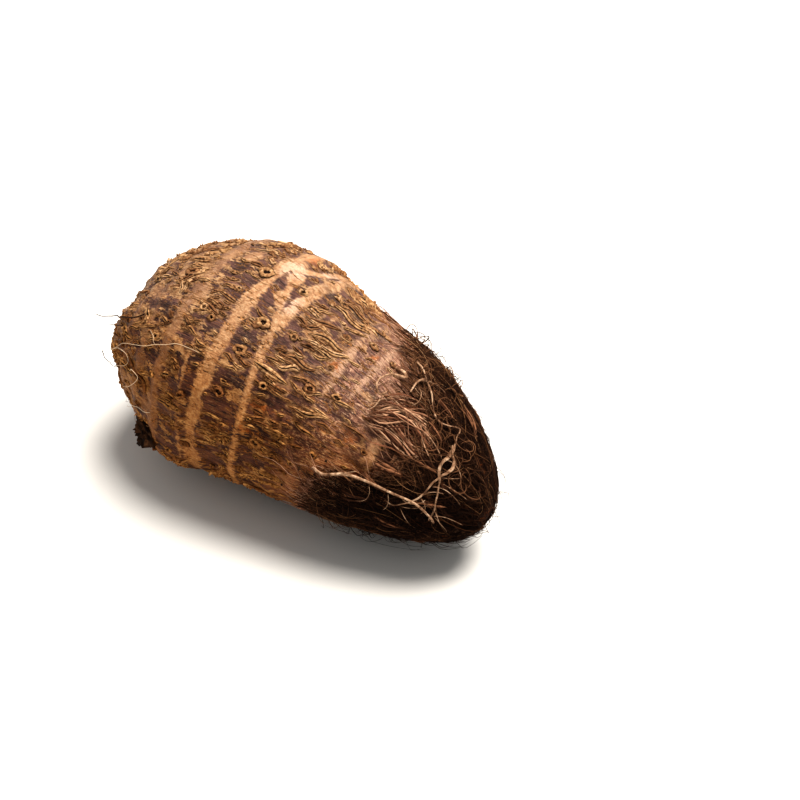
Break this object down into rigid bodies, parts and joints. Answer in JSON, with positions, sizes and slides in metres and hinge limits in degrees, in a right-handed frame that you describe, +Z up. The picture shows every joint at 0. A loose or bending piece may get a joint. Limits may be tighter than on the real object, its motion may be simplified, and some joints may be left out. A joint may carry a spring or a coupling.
{
  "type": "taro root",
  "caption": "Whole taro corm lying on its side: blunt base end, leaf-scar rings, corky brown skin, and a tapering crown end wrapped in shaggy dark fibres with thin pale roots.",
  "frame": {"origin": "on the floor under the middle of the whole root, with its crown fibres", "axes": "+X from the blunt base end to the fibrous crown end, the root's longest way; +Z up, with the root lying on the flattest part of its underside"},
  "size_m": [0.1908, 0.1024, 0.1023],
  "materials": {
    "corm": "dry matt corky skin, pale tan rings on purple-brown",
    "crown_fibres": "dry matt fibres, dark brown"
  },
  "bodies": {
    "root": {"corm": "corm", "crown_fibres": "crown_fibres"}
  },
  "joints": []
}
